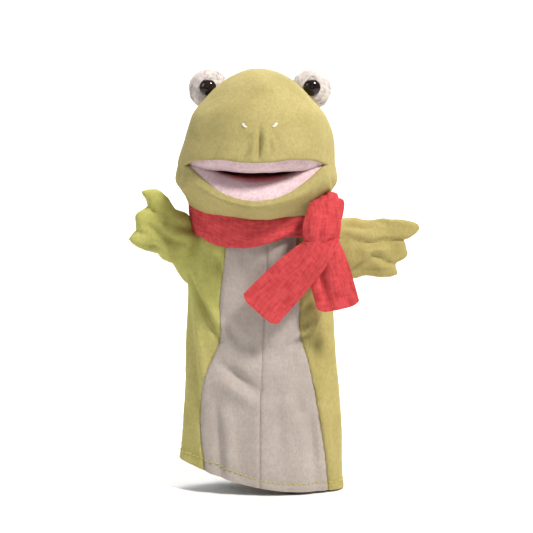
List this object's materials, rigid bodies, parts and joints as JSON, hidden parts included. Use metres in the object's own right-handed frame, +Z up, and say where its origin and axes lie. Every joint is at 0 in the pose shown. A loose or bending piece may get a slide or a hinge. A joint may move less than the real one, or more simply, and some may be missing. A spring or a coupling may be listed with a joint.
{
  "type": "hand puppet",
  "caption": "Frog hand puppet with a stuffed head, hinged jaw, two finger arms, a hollow cloth sleeve and a knotted gauze scarf.",
  "frame": {"origin": "centre of the hand opening in the hem", "axes": "+Z up through the head, -Y is where the puppet looks, +X is the puppet's own left"},
  "size_m": [0.2058, 0.1165, 0.2962],
  "materials": {
    "green_cloth": "slubby cotton and linen, yellow green",
    "belly_cloth": "warm grey linen",
    "lining_plush": "short pale pink plush",
    "eye_plush": "short off-white plush",
    "scarf_gauze": "crinkled red double gauze",
    "hem_thread": "yellow green sewing thread",
    "face_thread": "off-white embroidery thread",
    "pocket_cloth": "plain thin cotton",
    "stuffing": "loose polyester fibre",
    "mouth_board": "thin flexible sheet",
    "eye_plastic": "glossy dark brown",
    "washer_plastic": "plain moulded"
  },
  "bodies": {
    "sleeve": {"back_panel": "green_cloth", "side_panel_left": "green_cloth", "side_panel_right": "green_cloth", "belly_panel_left": "belly_cloth", "belly_panel_right": "belly_cloth", "hem_stitching": "hem_thread", "scarf_wrap": "scarf_gauze", "scarf_knot": "scarf_gauze"},
    "neck_gusset": {"neck_gusset": "green_cloth"},
    "neck_cuff": {"neck_cuff": "green_cloth"},
    "head": {"head_skin_crown": "green_cloth", "head_skin_back": "green_cloth", "head_filling": "stuffing", "finger_pocket": "pocket_cloth", "mouth_roof_lining": "lining_plush", "mouth_roof_board": "mouth_board", "mouth_fold": "lining_plush", "eye_cover_left": "eye_plush", "eye_filling_left": "stuffing", "eye_dome_left": "eye_plastic", "eye_washer_left": "washer_plastic", "nostril_stitch_left": "face_thread", "eye_cover_right": "eye_plush", "eye_filling_right": "stuffing", "eye_dome_right": "eye_plastic", "eye_washer_right": "washer_plastic", "nostril_stitch_right": "face_thread"},
    "jaw": {"jaw_skin": "green_cloth", "jaw_filling": "stuffing", "thumb_pocket": "pocket_cloth", "mouth_floor_lining": "lining_plush", "mouth_floor_board": "mouth_board"},
    "upper_arm_left": {"upper_arm_front_left": "green_cloth", "upper_arm_back_left": "green_cloth"},
    "forearm_left": {"forearm_front_left": "green_cloth", "forearm_back_left": "green_cloth", "hand_left": "green_cloth"},
    "upper_arm_right": {"upper_arm_front_right": "green_cloth", "upper_arm_back_right": "green_cloth"},
    "forearm_right": {"forearm_front_right": "green_cloth", "forearm_back_right": "green_cloth", "hand_right": "green_cloth"},
    "scarf_tail_long": {"scarf_tail_long": "scarf_gauze"},
    "scarf_tail_short": {"scarf_tail_short": "scarf_gauze"}
  },
  "joints": [
    {"name": "head_tilt", "type": "hinge", "parent": "sleeve", "child": "neck_gusset", "pos_m": [0, 0, 0.167], "axis": [0, 1, 0], "range_deg": [-8, 8], "stiffness_Nm_per_rad": 0.4},
    {"name": "head_turn", "type": "hinge", "parent": "neck_gusset", "child": "neck_cuff", "pos_m": [0, 0, 0.17], "axis": [0, 0, 1], "range_deg": [-25, 25], "stiffness_Nm_per_rad": 0.2},
    {"name": "head_nod", "type": "hinge", "parent": "neck_cuff", "child": "head", "pos_m": [0, 0.005, 0.176], "axis": [-1, 0, 0], "range_deg": [-8, 15], "stiffness_Nm_per_rad": 0.4},
    {"name": "jaw_open", "type": "hinge", "parent": "head", "child": "jaw", "pos_m": [0, -0.008, 0.214], "axis": [1, 0, 0], "range_deg": [-23.5, 6], "stiffness_Nm_per_rad": 0.12},
    {"name": "left_arm_raise", "type": "hinge", "parent": "sleeve", "child": "upper_arm_left", "pos_m": [0.056, 0, 0.16], "axis": [0, -1, 0], "range_deg": [-40, 30], "stiffness_Nm_per_rad": 0.03},
    {"name": "left_arm_clap", "type": "hinge", "parent": "upper_arm_left", "child": "forearm_left", "pos_m": [0.077, 0, 0.16], "axis": [0, 0, -1], "range_deg": [-15, 45], "stiffness_Nm_per_rad": 0.02},
    {"name": "right_arm_raise", "type": "hinge", "parent": "sleeve", "child": "upper_arm_right", "pos_m": [-0.056, 0, 0.16], "axis": [0, 1, 0], "range_deg": [-60, 15], "stiffness_Nm_per_rad": 0.03},
    {"name": "right_arm_clap", "type": "hinge", "parent": "upper_arm_right", "child": "forearm_right", "pos_m": [-0.0702, -0.0135, 0.16755], "axis": [0.4695, 0, 0.8829], "range_deg": [-15, 45], "stiffness_Nm_per_rad": 0.02},
    {"name": "long_tail_swing", "type": "hinge", "parent": "sleeve", "child": "scarf_tail_long", "pos_m": [0.037, -0.0386, 0.1565], "axis": [-1, 0, 0], "range_deg": [0, 70]},
    {"name": "short_tail_swing", "type": "hinge", "parent": "sleeve", "child": "scarf_tail_short", "pos_m": [0.057, -0.0386, 0.1565], "axis": [-1, 0, 0], "range_deg": [0, 70]}
  ]
}
